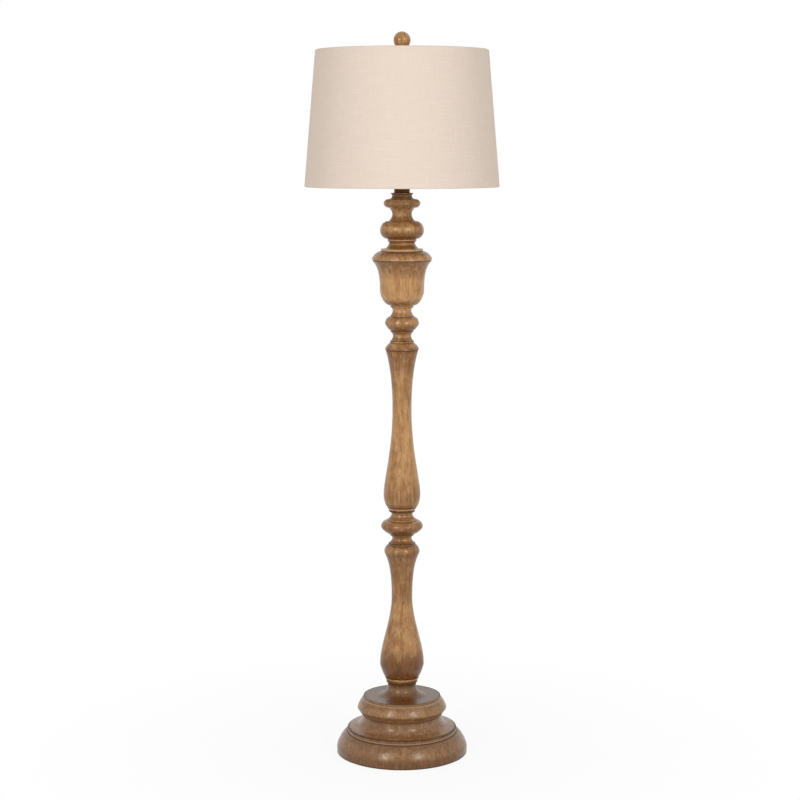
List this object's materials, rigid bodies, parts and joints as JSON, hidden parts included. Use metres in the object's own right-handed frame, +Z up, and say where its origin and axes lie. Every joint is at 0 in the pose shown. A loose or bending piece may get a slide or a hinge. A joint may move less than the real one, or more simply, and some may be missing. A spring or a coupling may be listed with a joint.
{
  "type": "floor lamp",
  "caption": "Turned wooden floor lamp: stepped round base, baluster column with knops and an urn, tapered drum shade of linen on a wire harp, and a ball finial.",
  "frame": {"origin": "on the floor, under the middle of the base", "axes": "+Z up, +X to the right and -Y to the front of the lamp, where the socket's switch knob is; the cord leaves towards +Y"},
  "size_m": [0.418, 0.4178, 1.5754],
  "materials": {
    "turned_wood": "antique honey-brown stain with a grey-brown glaze in the hollows, satin varnish",
    "base_wood": "antique honey-brown stain under a greyer glaze, rubbed through on the edges, satin varnish",
    "linen": "plain woven linen, matte",
    "shade_board": "smooth stiff sheet, matte",
    "antique_brass": "satin antique brass",
    "spider_wire": "brass-plated wire",
    "ring_wire": "white-coated wire",
    "dark_bronze": "dark bronze, semi-gloss",
    "zinc_steel": "zinc-plated",
    "iron": "rough cast, painted black",
    "felt": "pressed felt, dark brown",
    "hardboard": "hardboard",
    "black_phenolic": "moulded, semi-gloss",
    "bushing_plastic": "moulded nylon",
    "vulcanised_paper": "vulcanised paper",
    "contact_brass": "bright stamped brass",
    "bulb_metal": "rolled sheet, satin",
    "black_glass": "gloss",
    "opal_glass": "soft-white coating inside"
  },
  "bodies": {
    "lamp": {"lower_baluster": "turned_wood", "middle_knop": "turned_wood", "upper_baluster": "turned_wood", "neck_knop": "turned_wood", "urn": "turned_wood", "top_turning": "turned_wood", "base_plinth": "base_wood", "base_cove": "base_wood", "base_riser": "base_wood", "harp_saddle": "antique_brass", "harp": "antique_brass", "socket_cap": "antique_brass", "socket_shell": "antique_brass", "neck_tube": "dark_bronze", "lower_pipe": "zinc_steel", "upper_pipe": "zinc_steel", "pipe_coupling": "zinc_steel", "bottom_washer": "zinc_steel", "bottom_nut": "zinc_steel", "neck_nut": "zinc_steel", "cover_screws": "zinc_steel", "base_weight": "iron", "felt_pad": "felt", "base_cover": "hardboard", "socket_body": "black_phenolic", "cord_bushing": "bushing_plastic", "socket_liner": "vulcanised_paper", "screw_shell": "contact_brass", "centre_contact": "contact_brass"},
    "switch": {"switch_stem": "contact_brass", "switch_knob": "black_phenolic"},
    "sleeve_left": {"harp_sleeve_left": "antique_brass"},
    "sleeve_right": {"harp_sleeve_right": "antique_brass"},
    "shade": {"shade_linen": "linen", "shade_liner": "shade_board", "shade_spider": "spider_wire", "shade_bottom_ring": "ring_wire"},
    "finial_stem": {"finial_insert": "antique_brass"},
    "finial": {"finial_ball": "turned_wood"},
    "bulb_base": {"bulb_contact": "bulb_metal", "bulb_insulator": "black_glass", "bulb_cap": "bulb_metal"},
    "bulb": {"bulb_glass": "opal_glass"}
  },
  "joints": [
    {"name": "switch_turn", "type": "hinge", "parent": "lamp", "child": "switch", "pos_m": [0, -0.0318, 1.2911], "axis": [0, -1, 0], "continuous": true},
    {"name": "sleeve_left_lift", "type": "slide", "parent": "lamp", "child": "sleeve_left", "axis": [0, 0, 1], "range_m": [0, 0.0185]},
    {"name": "sleeve_right_lift", "type": "slide", "parent": "lamp", "child": "sleeve_right", "axis": [0, 0, 1], "range_m": [0, 0.0185]},
    {"name": "shade_turn", "type": "hinge", "parent": "lamp", "child": "shade", "pos_m": [0, 0, 1.52], "axis": [0, 0, 1], "continuous": true},
    {"name": "finial_rise", "type": "slide", "parent": "lamp", "child": "finial_stem", "axis": [0, 0, 1], "range_m": [0, 0.0076]},
    {"name": "finial_turn", "type": "hinge", "parent": "finial_stem", "child": "finial", "pos_m": [0, 0, 1.5572], "axis": [0, 0, 1], "range_deg": [0, 2880]},
    {"name": "bulb_rise", "type": "slide", "parent": "lamp", "child": "bulb_base", "axis": [0, 0, 1], "range_m": [0, 0.0182]},
    {"name": "bulb_turn", "type": "hinge", "parent": "bulb_base", "child": "bulb", "pos_m": [0, 0, 1.3835], "axis": [0, 0, 1], "range_deg": [0, 1800]}
  ],
  "couplings": [
    {"joint": "finial_rise", "follows": "finial_turn", "m_per_rad": 0.00014973},
    {"joint": "bulb_rise", "follows": "bulb_turn", "m_per_rad": 0.00057773}
  ]
}
